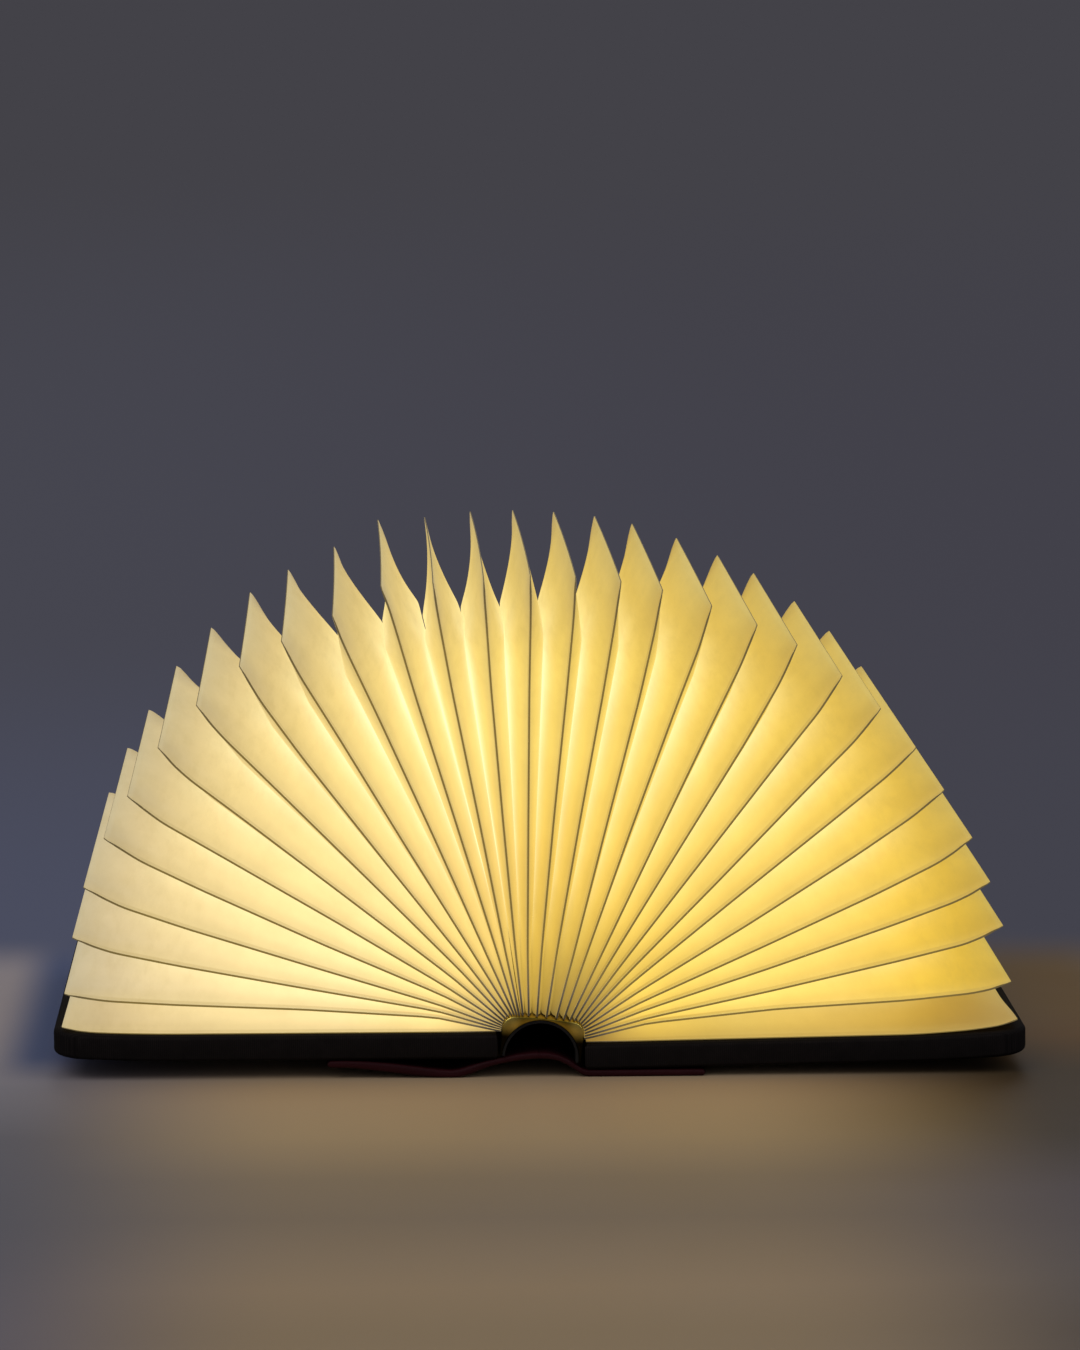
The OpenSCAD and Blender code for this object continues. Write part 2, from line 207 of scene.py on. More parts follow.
def make_floor():
    n = FLOOR_STEPS
    verts = [(x, y, 0.0) for y in np.linspace(*FLOOR_Y, n) for x in np.linspace(*FLOOR_X, n)]
    faces = [(j * n + i, j * n + i + 1, (j + 1) * n + i + 1, (j + 1) * n + i)
             for j in range(n - 1) for i in range(n - 1)]
    ob = add_object("floor", verts, faces)
    m = Mat("floor_table", lin(98, 93, 97), 0.6)
    x, y = m.split(m.node("NewGeometry").outputs["Position"])[:2]
    grain = m.noise(m.place(), 9, 4, 0.6)
    # painted light and shade on the table, each from near to far: bluish shade on the left, the
    # lamp's warm glow before it, and its brown-gold glow on the right with a band of painted shadow
    # beside the board; the stops were tuned until the render's tones there came close to the
    # photo's
    deep = m.remap(y, -0.46, 0.1)
    cool_light_and_shade = m.ramp(deep, [(0.0, lin(82, 77, 87)), (0.25, lin(75, 74, 83)), (0.46, lin(84, 82, 89)),
                         (0.61, lin(108, 104, 110)), (0.7, lin(132, 124, 126)),
                         (0.82, lin(136, 127, 129))])
    warm = m.ramp(deep, [(0.0, lin(117, 97, 70)), (0.09, lin(123, 102, 77)),
                         (0.25, lin(104, 90, 77)), (0.35, lin(112, 97, 81)),
                         (0.46, lin(140, 120, 94)), (0.56, lin(150, 128, 101))])
    brown_glow_and_shadow = m.ramp(deep, [(0.0, lin(64, 54, 49)), (0.1, lin(73, 65, 63)), (0.3, lin(69, 60, 63)),
                          (0.46, lin(55, 44, 31)), (0.64, lin(56, 40, 8)), (0.75, lin(90, 61, 4)),
                          (0.84, lin(92, 66, 4))])
    # painted shadow: a cold blue shade close to the left board
    painted_board_shadow = m.times(m.ease(x, -0.217, -0.194), m.ease(y, -0.115, -0.06))
    cool_light_and_shade = m.mix(painted_board_shadow, cool_light_and_shade, lin(52, 68, 108))
    table = m.mix(m.ease(x, -0.205, -0.09), cool_light_and_shade, warm)
    table = m.mix(m.ease(x, 0.06, 0.195), table, brown_glow_and_shadow)
    # one plain tone away from the lamp
    aside = m.ease(m.math("ABSOLUTE", x), 0.225, 0.28)
    away = m.math("MAXIMUM", aside, m.ease(y, 0.11, 0.26))
    table = m.mix(away, table, lin(88, 85, 92))
    table = m.mix(m.remap(grain, 0.3, 0.7, 0.0, 0.06), table, lin(120, 112, 112))
    m.feed("Base Color", table)
    m.put("Specular IOR Level", 0.25)
    # beyond the table's back edge the camera sees the dark backdrop
    low = m.mix(m.ease(x, -0.2, 0.25), lin(74, 77, 95), lin(67, 67, 77))
    high = m.mix(m.ease(x, -0.4, 0.5), lin(70, 70, 80), lin(66, 65, 74))
    back = m.mix(m.ease(y, 0.1, 1.2), low, high)
    back = m.mix(m.ease(y, 1.0, 7.0), back, BACKDROP)
    emit = m.node("Emission")
    m.link(back, emit.inputs[0])
    rays = m.node("LightPath")
    seen = m.math("MAXIMUM", rays.outputs["Is Camera Ray"], rays.outputs["Is Glossy Ray"])
    beyond = m.ease(y, 0.085, 0.175)
    mixer = m.node("MixShader")
    m.link(m.times(seen, beyond), mixer.inputs[0])
    m.link(m.bsdf.outputs[0], mixer.inputs[1])
    m.link(emit.outputs[0], mixer.inputs[2])
    m.link(mixer.outputs[0], m.t.nodes["Material Output"].inputs[0])
    ob.data.materials.append(m.mat)


def make_world():
    """Soft light all round. The camera, metal and glass see the dark backdrop in its place."""
    w = bpy.data.worlds.new("studio")
    bpy.context.scene.world = w
    w.use_nodes = True
    t = w.node_tree
    rays = t.nodes.new("ShaderNodeLightPath")
    seen = rays.outputs["Is Camera Ray"]
    for kind in ("Is Glossy Ray", "Is Transmission Ray"):
        most = t.nodes.new("ShaderNodeMath")
        most.operation = "MAXIMUM"
        t.links.new(seen, most.inputs[0])
        t.links.new(rays.outputs[kind], most.inputs[1])
        seen = most.outputs[0]
    mix = t.nodes.new("ShaderNodeMix")
    mix.data_type = "RGBA"
    mix.inputs[6].default_value = (0.55, 0.56, 0.6, 1)
    mix.inputs[7].default_value = (*BACKDROP, 1)
    t.links.new(seen, mix.inputs[0])
    t.links.new(mix.outputs[2], t.nodes["Background"].inputs[0])
    t.nodes["Background"].inputs[1].default_value = 1.0


LIT_POINT = Vector((0, 0, 0.08))
SOFTBOX = 1.6


def area(name, loc, power, colour):
    """A round soft light that looks at the lamp."""
    d = bpy.data.lights.new(name, "AREA")
    d.shape = "DISK"
    d.size = SOFTBOX
    d.energy = power
    d.color = colour
    o = bpy.data.objects.new(name, d)
    bpy.context.collection.objects.link(o)
    o.location = loc
    o.rotation_euler = (LIT_POINT - Vector(loc)).to_track_quat("-Z", "Y").to_euler()


make_floor()
make_world()
area("key", (-1.2, -1.0, 1.8), 14, (1.0, 0.97, 0.93))
area("fill", (1.5, -0.6, 1.5), 8, (0.95, 0.97, 1.0))
area("back", (0.2, 1.6, 1.6), 8, (0.95, 0.97, 1.0))


# ---------------------------------------------------------------- paper
# lengths below are in mm, x to the right and z up, measured with the photo's camera
PAGES = 28
# fore-edge fold of each page, x and z
TIPS = [(-182.3, 33.8), (-179.0, 55.6), (-174.5, 75.1), (-166.5, 94.1), (-157.4, 110.3),
        (-145.6, 128.9), (-130.9, 145.1), (-114.5, 160.0), (-98.5, 169.5), (-79.2, 179.2),
        (-60.8, 190.5), (-41.1, 191.5), (-22.0, 193.8), (-4.2, 194.3), (13.0, 193.5), (30.2, 191.6),
        (46.0, 188.3), (64.7, 182.2), (82.0, 174.8), (97.3, 167.1), (114.6, 155.1), (129.4, 142.4),
        (143.1, 127.2), (154.1, 110.7), (165.1, 92.0), (172.2, 74.8), (177.4, 57.6), (180.8, 35.7)]
# root of each page on the spine, x and z
FEET = [(-16.1, 18.55), (-16.05, 19.25), (-15.95, 20.0), (-15.8, 20.8), (-15.5, 21.7),
        (-15.0, 22.7), (-14.2, 23.7), (-13.2, 24.45), (-11.8, 25.05), (-10.7, 25.25), (-9.7, 25.2),
        (-8.6, 25.1), (-7.2, 24.95), (-4.9, 24.7), (-1.7, 24.4), (2.0, 24.1), (5.9, 23.7),
        (8.8, 23.4), (11.3, 23.1), (13.1, 22.8), (14.6, 22.25), (15.6, 21.5), (16.3, 20.65),
        (16.8, 19.7), (17.1, 18.6), (17.25, 17.45), (17.2, 16.3), (17.1, 15.3)]
# how far each page stands above its straight line, at these shares of its length
BEND_AT = (0.0, 0.15, 0.45, 0.75, 0.9, 0.96, 1.0)
BEND = [(3.2, 2.0, -0.4, -1.1, -0.6), (1.8, -0.2, -1.9, -2.2, -1.3), (0.7, -0.9, -2.3, -2.3, -1.2),
        (0.9, -1.0, -1.9, -1.8, -0.8), (0.9, 0.3, -0.9, -1.6, -0.8), (0.9, -0.1, -1.2, -2.0, -1.4),
        (0.6, 0.0, -0.8, -1.3, -0.9), (-0.1, -1.3, -2.1, -1.7, -0.9),
        (-0.1, -0.6, -0.6, -0.9, -0.6), (-0.1, 0.2, -0.1, -0.6, -0.6), (0.1, 0.1, 0.0, 0.5, 0.5),
        (-0.5, -0.5, -0.9, -0.6, -0.4), (-0.6, -0.9, -0.9, -0.4, -0.3), (0.5, 0.4, 0.2, -0.2, -0.2),
        (0.4, 0.2, -0.5, -0.6, -0.4), (0.3, 0.1, -0.4, -0.3, -0.1), (-0.5, -0.8, -1.3, -0.8, -0.3),
        (0.2, 0.3, -0.1, -0.7, -0.3), (-0.1, -0.3, -0.5, -0.8, -0.3), (0.0, -0.9, -1.9, -1.6, -0.8),
        (0.3, -0.1, -0.5, -1.1, -0.5), (0.4, -0.4, -0.7, -1.2, -0.6), (0.6, 0.1, -0.8, -1.1, -0.6),
        (0.1, -1.5, -2.1, -1.6, -0.7), (0.1, -1.6, -2.8, -2.6, -1.5), (0.4, -1.3, -2.3, -2.3, -1.5),
        (0.6, -1.4, -2.7, -2.9, -1.7), (2.8, 1.7, -1.6, -2.2, -1.6)]
# half the book's depth, the glued seams along the pages' two sides, and the air between pages
HALF_D = 107.5
SEAM, SEAM_T = 4.0, 0.75
CLEAR = 0.16
# share of its length where a pocket begins to close, and how fast, larger is slimmer
SHOULDER = 0.82
SLIM = [0.8] * 8 + [0.75, 1.1, 2.3, 1.7, 1.8, 1.25, 1.2, 1.0, 0.7, 0.6, 0.65, 0.7] + [0.8] * 8
# how far a page's root is tucked in below its foot, for the five pages on top and for the rest
TUCK_TOP, TUCK = 0.5, 0.65
# sideways bow and ripple of the middle pages over their depth
BOW, RIPPLE = 0.6, 0.42
# radius of a page's outer corners, and how much of a full round they have
PAGE_CORNER, PAGE_ROUND = 2.4, 0.75


def smooth(x):
    x = np.clip(x, 0, 1)
    return x * x * (3 - 2 * x)


def hump(i, centre, spread):
    return math.exp(-((i - centre) / spread) ** 2)


def kernel(width):
    k = np.hanning(width)
    return k / k.sum()


def bend(i, r):
    """Height of page i above its straight line, smoothed between the measured places."""
    if not 1 <= i <= PAGES:
        return np.zeros_like(r)
    fine = np.linspace(-0.2, 1.2, 281)
    rough = np.interp(fine, BEND_AT, (0.0, *BEND[i - 1], 0.0))
    soft = np.convolve(rough, kernel(15), "same")
    soft -= np.interp(fine, (0, 1), (np.interp(0, fine, soft), np.interp(1, fine, soft)))
    return np.interp(r, fine, soft)


# covers, -1 the left and 1 the right: inner edge, width, thickness, height of the lower face
# at the inner edge, and slope in degrees
BOARD_X = 16.9
BOARD_W = {-1: 170.2, 1: 171.0}
BOARD_T = 10.4
BOARD_Z = {-1: 7.1, 1: 2.7}
BOARD_TILT = {-1: 0.0, 1: 0.9}
BOARD_BOW = 1.7


def tilted(points, side):
    """Points of a cover, turned with the cover's slope about its inner lower edge."""
    slope = math.radians(BOARD_TILT[side])
    c, s = math.cos(slope), side * math.sin(slope)
    out = np.array(points, dtype=float)
    x, z = out[..., 0] - side * BOARD_X, out[..., -1] - BOARD_Z[side]
    out[..., 0] = side * BOARD_X + x * c - z * s
    out[..., -1] = BOARD_Z[side] + x * s + z * c
    return out


def board_rise(s):
    """How far a board's outer end bows up, s from 0 at the spine to 1."""
    return BOARD_BOW * np.clip((s - 0.7) / 0.3, 0, 1) ** 2


# a leaf lies on each board: its start from the board's inner edge, its width, how much shallower
# than the book it is at each side, the gap under it, its share of the room over it, and the
# least thickness of its upper sheet's rise
LEAF_START = 0.5
LEAF_W = {-1: 166.2, 1: 166.6}
LEAF_MARGIN = 2.2
LEAF_GAP = 0.08
LEAF_FILL = 0.92
LEAF_THIN = 0.35
# where a leaf's width begins on the board's bow, and the width that the bow is read over
BOW_START, BOW_W = 0.4, 169
# shares of its width, and how far its front corner stands up there
CURL = {-1: ((0.93, 0.97, 1.0), (0.0, 0.25, 1.0)),
        1: ((0.76, 0.88, 0.957, 0.98, 1.0), (0.0, 0.6, 1.35, 1.9, 2.9))}
# the boards' inner faces stand in for the neighbours of the first and last page
EDGE_END, EDGE_GAP = 166.3, 0.1
EDGE = {i: tilted([(side * (BOARD_X + reach), BOARD_Z[side] + BOARD_T + EDGE_GAP)
                   for reach in (LEAF_START, EDGE_END)], side)
        for i, side in ((0, -1), (PAGES + 1, 1))}


def line(i):
    """Foot, direction, right-hand normal and length of page i."""
    f, t = EDGE[i] if i in EDGE else (np.array(FEET[i - 1]), np.array(TIPS[i - 1]))
    length = np.linalg.norm(t - f)
    u = (t - f) / length
    return f, u, np.array((u[1], -u[0])), length


def spine_curve(i, r):
    """Points of page i's fold plane, seen from the front, at shares r of its length."""
    f, u, n, length = line(i)
    up = 1 if u[0] < 0 else -1
    return f[None, :] + (r * length)[:, None] * u[None, :] + (up * bend(i, r))[:, None] * n[None, :]


def room(i, j, r):
    """Half the distance from page i to page j at share r of its length."""
    return np.abs((spine_curve(j, r) - spine_curve(i, r)) @ line(i)[2]) / 2


def grid_mesh(name, sheets, attrs=None, soft=False):
    """One closed skin from two sheets of points that meet all round.

    The rim is flat and has the second material, unless the piece is soft all over."""
    a, b = sheets
    rows, cols = a.shape[:2]
    verts = np.concatenate([a.reshape(-1, 3), b.reshape(-1, 3)])
    faces = []
    k = rows * cols
    for i in range(rows - 1):
        for j in range(cols - 1):
            p = i * cols + j
            faces += [(p, p + 1, p + cols + 1, p + cols),
                      (k + p, k + p + cols, k + p + cols + 1, k + p + 1)]
    rim = len(faces)
    for i in range(rows - 1):
        p = i * cols
        q = p + cols - 1
        faces += [(p, p + cols, k + p + cols, k + p), (q + cols, q, k + q, k + q + cols)]
    for j in range(cols - 1):
        q = (rows - 1) * cols + j
        faces += [(j + 1, j, k + j, k + j + 1), (q, q + 1, k + q + 1, k + q)]
    ob = add_object(name, (verts * MM).tolist(), faces)
    me = ob.data
    in_rim = [0 if soft else int(f >= rim) for f in range(len(faces))]
    me.polygons.foreach_set("use_smooth", [not f for f in in_rim])
    me.polygons.foreach_set("material_index", in_rim)
    for key, value in (attrs or {}).items():
        at = me.attributes.new(key, "FLOAT", "POINT")
        at.data.foreach_set("value", np.concatenate([value.ravel()] * 2).astype(float))
    me.update()
    return ob


# shares of a page's length and of its depth where its points lie, crowded where it curves most
R = np.concatenate([[0.0, 0.008, 0.02, 0.035],
                    np.linspace(0.055, 0.78, 18)[:-1], np.linspace(0.78, 1.0, 18)])
QS = 1 - SEAM / HALF_D
Q = np.concatenate([[-1.0, -(1 + QS) / 2],
                    -QS * np.cos(np.linspace(0, math.pi, 39)), [(1 + QS) / 2, 1.0]])
# 0 in the middle of the depth to 1 at the seam, and 0 at the outer side to 1 where the seam ends
LENS = np.clip(np.abs(Q) / QS, 0, 1)
MARGIN = np.clip((1 - np.abs(Q)) / (1 - QS), 0, 1)


def pocket(r, widest, slim=0.8):
    """Half thickness of a pocket over its length and depth."""
    # full near the root, lens-shaped toward the fore-edge, where it closes
    power = (6.0 - 3.8 * r + 60.0 * np.exp(-(r / 0.045) ** 2))[:, None]
    across = np.clip(1 - LENS[None, :] ** power, 0, 1) ** 0.95
    fall = np.clip((r - SHOULDER) / (1 - SHOULDER), 0, 1)
    puff = np.clip(widest - CLEAR - SEAM_T / 2, 0, None) * (1 - fall) ** slim
    # the seam thins at its fore-edge end, and the leaves part a little inward of it
    edge = SEAM_T / 2 * (1 - 0.45 * smooth((r - 0.975) / 0.025))
    inside = smooth(r / 0.3) * (1 - smooth((r - 0.9) / 0.1))
    flare = 0.25 * inside[:, None] * (MARGIN ** 1.5)[None, :]
    half = edge[:, None] + puff[:, None] * across + flare
    return np.minimum(half, np.maximum(widest - CLEAR, 0.1)[:, None])


def round_corners(r):
    """How much shorter a page is at each depth: its two outer corners are slightly round."""
    reach = PAGE_CORNER / HALF_D
    near = np.clip((np.abs(Q) - 1 + reach) / reach, 0, 1)
    cut = PAGE_ROUND * PAGE_CORNER * (1 - np.sqrt(np.clip(1 - near ** 2, 0, 1)))
    return cut[None, :] * smooth((r - 0.9) / 0.1)[:, None]


def grids(share, dim=0.0):
    """Values that the paper's material reads at each point."""
    return {"along": np.repeat(R[:, None], len(Q), 1), "across": np.repeat(Q[None, :], len(R), 0),
            "share": np.full((len(R), len(Q)), share), "dim": np.full((len(R), len(Q)), dim)}


def make_page(i):
    """Page i from the left: a pocket of two leaves, glued along both sides."""
    u, n = line(i)[1:3]
    mid = spine_curve(i, R)
    mid[0] -= (TUCK_TOP if 13 <= i <= 17 else TUCK) * u
    # the middle pages bow and ripple sideways, so that no straight line of light shows
    # between two of them
    waves = np.outer(1 - smooth((R - 0.8) / 0.1), np.cos(3 * math.pi * Q))
    bow = BOW * hump(i, 13, 5) + RIPPLE * hump(i, 12.5, 2.2) * waves
    bow = bow * (1 - Q ** 2)[None, :] * smooth(R / 0.2)[:, None]
    cut = round_corners(R)
    sheets = []
    for j, s in ((i + 1, 1), (i - 1, -1)):
        half = s * pocket(R, room(i, j, R), SLIM[i - 1]) + bow
        p = np.zeros((len(R), len(Q), 3))
        for axis, k in ((0, 0), (2, 1)):
            p[:, :, axis] = mid[:, k][:, None] + half * n[k] - cut * u[k]
        p[:, :, 1] = (Q * HALF_D)[None, :]
        sheets.append(p)
    return grid_mesh("leaf_pair_%02d" % i, sheets, grids((i - 1) / (PAGES - 1)))


def make_endleaf(side):
    """The leaf that lies on a board."""
    i, j = (0, 1) if side < 0 else (PAGES + 1, PAGES)
    width = LEAF_W[side]
    puff = np.maximum(pocket(R, room(i, j, R) * LEAF_FILL), LEAF_THIN)
    # its two outer corners curl up, the front one more
    corner = np.interp(R, *CURL[side])[:, None]
    curl = corner * (smooth((-Q - 0.4) / 0.6) + 0.5 * smooth((Q - 0.4) / 0.6))[None, :]
    board = board_rise((R * width + BOW_START) / BOW_W)[:, None]
    cut = round_corners(R)
    sheets = []
    for height in (board + curl, board + curl + puff):
        p = np.zeros((len(R), len(Q), 3))
        p[:, :, 0] = side * (BOARD_X + LEAF_START + (R * width)[:, None] - cut)
        p[:, :, 1] = (Q * (HALF_D - LEAF_MARGIN))[None, :]
        p[:, :, 2] = BOARD_Z[side] + BOARD_T + LEAF_GAP + height
        sheets.append(tilted(p, side))
    if side < 0:
        return grid_mesh("end_leaf_left", sheets[::-1], grids(0.0, 0.5))
    return grid_mesh("end_leaf_right", sheets, grids(1.0, 1.0))


def paper_material():
    m = Mat("glowing_paper", (0.34, 0.29, 0.13), 0.75)
    along, across, share = m.attr("along"), m.attr("across"), m.attr("share")
    depth = m.math("ABSOLUTE", across)
    # glow from root to fore-edge for the left, middle and right pages, tuned in the same way
    left = m.ramp(along, [(0.0, (0.26, 0.21, 0.09)), (0.03, (0.58, 0.46, 0.17)),
                          (0.14, (0.98, 0.78, 0.35)), (0.36, (0.86, 0.72, 0.41)),
                          (0.6, (0.77, 0.64, 0.36)), (0.8, (0.62, 0.51, 0.31)),
                          (0.92, (0.47, 0.39, 0.26)), (1.0, (0.33, 0.28, 0.2))])
    centre = m.ramp(along, [(0.0, (0.18, 0.125, 0.024)), (0.03, (0.36, 0.25, 0.045)),
                            (0.14, (0.50, 0.345, 0.065)), (0.36, (0.62, 0.43, 0.09)),
                            (0.6, (0.68, 0.51, 0.125)), (0.8, (0.67, 0.50, 0.12)),
                            (0.92, (0.48, 0.35, 0.09)), (1.0, (0.33, 0.24, 0.07))])
    right = m.ramp(along, [(0.0, (0.10, 0.08, 0.03)), (0.04, (0.25, 0.2, 0.06)),
                           (0.09, (0.6, 0.46, 0.12)), (0.15, (0.84, 0.64, 0.15)),
                           (0.36, (0.79, 0.62, 0.18)), (0.6, (0.76, 0.55, 0.14)),
                           (0.8, (0.67, 0.45, 0.055)), (0.92, (0.51, 0.33, 0.025)),
                           (1.0, (0.38, 0.25, 0.015))])
    tone = m.mix(m.remap(share, 0.0, 0.5), left, centre)
    tone = m.mix(m.remap(share, 0.5, 1.0), tone, right)
    warm = m.ease(share, 0.4, 0.65)
    m.feed("Base Color", m.mix(warm, (0.34, 0.29, 0.14), (0.34, 0.28, 0.09)))
    # palest down the valley where neighbouring pockets touch, dim and brown beside the seams
    wide = m.ease(depth, 0.92, 0.45)
    core = m.math("POWER", m.remap(depth, 0.86, 0.42), 2.2)
    pale = m.mix(share, (0.82, 0.75, 0.47), (0.82, 0.77, 0.42))
    broad = m.remap(m.band(share, 0.5, 0.68, 0.8, 0.94), 0.0, 1.0, 0.2, 0.5)
    streak = m.math("ADD", m.times(wide, broad), m.times(core, m.math("SUBTRACT", 1.0, broad)))
    glow = m.mix(m.times(streak, m.band(along, 0.04, 0.35, 0.7, 0.93)), tone, pale)
    beside = m.times(m.ease(depth, 0.82, QS + 0.015), 0.3)
    glow = m.mix(beside, glow, m.mix(warm, lin(165, 136, 72), lin(176, 138, 52)))
    margin = m.times(m.ease(depth, QS - 0.01, QS + 0.004), 0.45)
    glow = m.mix(margin, glow, m.mix(warm, lin(146, 124, 80), lin(140, 112, 50)))
    # the corners stand off their neighbours, so less light reaches them
    corner = m.times(m.ease(along, 0.84, 1.0), m.ease(depth, 0.55, 0.95))
    glow = m.mix(m.times(corner, m.remap(warm, 0.0, 1.0, 0.4, 0.3)), glow,
                 m.mix(warm, lin(132, 121, 104), lin(120, 92, 36)))
    # the right shoulder's pages start in its shade
    shade = m.times(m.band(share, 0.5, 0.6, 0.76, 0.86), m.ease(along, 0.3, 0.0))
    glow = m.mix(m.times(shade, 0.4), glow, (0.12, 0.10, 0.04))
    # the leaves on the boards get less light, least along their front edge and at their far corner
    far = m.times(m.ease(along, 0.6, 1.0), m.ease(across, 0.2, -0.95))
    low = m.math("ADD", m.remap(across, 0.3, -1.0, 0.30, 0.62), m.times(far, 0.4), clamp=True)
    glow = m.mix(m.times(m.attr("dim"), low), glow,
                 m.mix(share, (0.42, 0.32, 0.16), (0.20, 0.12, 0.035)))
    # brushed look toward the fore-edge
    brush = m.noise(m.place((1, 0.12, 1), (0.5, 0.7, 0.2)), 240, 4, 0.7)
    brushed = m.times(m.ease(along, 0.5, 0.95), m.remap(brush, 0.45, 0.7, 0.0, 0.16))
    glow = m.mix(brushed, glow, (0.22, 0.15, 0.03))
    fibre = m.noise(m.place((1, 0.35, 1), (0.3, 0.2, 0.5)), 55, 6, 0.7)
    cloud = m.noise(m.place(), 14, 3, 0.6)
    speck = m.times(m.remap(fibre, 0.35, 0.65, 0.93, 1.03), m.remap(cloud, 0.3, 0.7, 0.95, 1.04))
    m.feed("Emission Color", glow)
    m.feed("Emission Strength", speck)
    m.put("Specular IOR Level", 0.2)
    m.bump(m.noise(m.place(), 420, 5, 0.6), 0.15, 0.0002)
    return m.mat


def seam_material():
    m = Mat("glued_seam", (0.10, 0.075, 0.04), 0.8)
    grain = m.noise(m.place(), 300, 3)
    along = m.attr("along")
    outer = m.mix(grain, (0.10, 0.07, 0.02), (0.17, 0.12, 0.04))
    # painted shade: the glued edge is much darker at its root, where the pages crowd at the spine
    inner = m.mix(m.ease(along, 0.0, 0.06), (0.05, 0.042, 0.032), (0.18, 0.15, 0.115))
    m.feed("Base Color", m.mix(m.ease(along, 0.03, 0.16), inner, outer))
    # a little light comes through the glued edge
    through = m.mix(m.ease(along, 0.02, 0.14), (0.02, 0.014, 0.005), (0.15, 0.10, 0.018))
    m.feed("Emission Color", m.mix(m.remap(along, 0.85, 1.0), through, (0.05, 0.04, 0.02)))
    m.put("Emission Strength", 1.0)
    return m.mat


paper = paper_material()
seam_mat = seam_material()


def add_paper(ob, node, body, lean):
    """Paper on its body, in the paper and seam finishes, in place of its node."""
    ob.data.materials.append(paper)
    ob.data.materials.append(seam_mat)
    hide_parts(node)
    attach(ob, body)
    lean = math.radians(lean)
    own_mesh(ob)


# each page's lean from upright in degrees, and the point of the spine that it turns on, x and z
LEAN_AT = [(-84.2, -15.97, 18.65), (-77.28, -15.9, 19.37), (-70.38, -15.82, 20.13),
           (-63.52, -15.7, 20.96), (-56.7, -15.42, 21.87), (-49.95, -14.92, 22.84),
           (-43.3, -14.12, 23.8), (-36.77, -12.97, 24.64), (-30.39, -11.48, 25.2),
           (-24.17, -9.72, 25.29), (-18.13, -7.79, 25.09), (-12.27, -5.74, 24.87),
           (-6.59, -3.57, 24.64), (-1.06, -1.33, 24.41), (4.34, 0.95, 24.17), (9.66, 3.23, 23.93),
           (14.96, 5.47, 23.69), (20.29, 7.65, 23.46), (25.73, 9.72, 23.25), (31.32, 11.68, 23.04),
           (37.12, 13.47, 22.73), (43.16, 14.96, 21.97), (49.47, 16.07, 20.92),
           (56.03, 16.79, 19.73), (62.83, 17.17, 18.52), (69.84, 17.26, 17.35),
           (76.98, 17.16, 16.24), (84.2, 17.05, 15.18)]
# degrees from page to page in the closed block, which narrows toward its fore-edge, where
# the boards bow inward; the leaves on the boards close a little off the boards' own plane
CLOSED_FAN = 0.042
CLOSED_LEAF = 89.4
for i in range(1, PAGES + 1):
    node, (lean, x, z) = "page_%02d" % i, LEAN_AT[i - 1]
    add_paper(make_page(i), node, node,
              lean + CLOSED_FAN * ((PAGES + 1) / 2 - i))
for side, word in ((-1, "left"), (1, "right")):
    add_paper(make_endleaf(side), word + "_endleaf", word + "_cover",
              side * (CLOSED_LEAF - BOARD_TILT[side]))


# ---------------------------------------------------------------- boards
CLOTH = 0.7
# radius of a board's edges and of its two outer corners
ROUND = 1.8
BOARD_CORNER = 12.0
# how far the padding dips at the rim, and over what distance it fades
PAD_DIP, PAD_REACH = 0.25, 9.0
# magnets: distance from the board's inner edge and from its side, radius, thickness and bevel
MAGNET_X, MAGNET_Y = 151.0, 22
MAGNET_R, MAGNET_T, MAGNET_BEVEL = 5.95, 3.0, 0.4


def edge_steps(size, corner):
    """Places across a board, crowded where its edges and corners are round."""
    fine = [0, 0.12, 0.35, 0.7, 1.15, 1.7, 2.4, 3.6, 5.4, 7.6, 10.0, corner + 0.5]
    inner = np.linspace(corner + 0.5, size - corner - 0.5, 26)[1:-1]
    return np.array(fine + list(inner) + [size - v for v in fine[::-1]])


def slab(name, side, inset):
    """A padded board: rounded in plan, rounded along its edges, its outer end bowed up."""
    w, d, t = BOARD_W[side] - 2 * inset, 2 * HALF_D - 2 * inset, BOARD_T - 2 * inset
    corner = BOARD_CORNER - inset
    rad = ROUND - inset * 0.6
    xs, ys = edge_steps(w, corner), edge_steps(d, corner) - d / 2
    x = np.repeat(xs[:, None], len(ys), 1)
    y = np.repeat(ys[None, :], len(xs), 0)
    # only the two outer corners are round in plan
    for s in (-1, 1):
        p = np.clip((x - (w - corner)) / corner, 0, 1)
        q = np.clip((s * y - (d / 2 - corner)) / corner, 0, 1)
        both = (p > 0) & (q > 0)
        x = np.where(both, w - corner + corner * p * np.sqrt(1 - q * q / 2), x)
        y = np.where(both, s * (d / 2 - corner + corner * q * np.sqrt(1 - p * p / 2)), y)
    # distance to the rim, which the edge's round follows
    gap = np.minimum(np.minimum(x, w - x), d / 2 - np.abs(y))
    cx, cy = x - (w - corner), np.abs(y) - (d / 2 - corner)
    gap = np.where((cx > 0) & (cy > 0), corner - np.hypot(cx, cy), gap)
    dip = np.clip(rad - gap, 0, rad)
    drop = rad - np.sqrt(np.clip(rad ** 2 - dip ** 2, 0, None))
    if inset == 0:
        drop += PAD_DIP * np.exp(-gap / PAD_REACH)
    rise = board_rise((x + inset) / BOARD_W[side])
    sheets = []
    for z in (drop, t - drop):
        p = np.zeros((*x.shape, 3))
        p[:, :, 0] = side * (BOARD_X + inset + x)
        p[:, :, 1] = y
        p[:, :, 2] = BOARD_Z[side] + inset + z + rise
        sheets.append(tilted(p, side))
    return grid_mesh(name, sheets, soft=True)


def quads(rings, n, low=0):
    """Faces between rings of n points each, the first of them numbered low."""
    return [(low + k * n + j, low + k * n + (j + 1) % n,
             low + (k + 1) * n + (j + 1) % n, low + (k + 1) * n + j)
            for k in range(rings - 1) for j in range(n)]


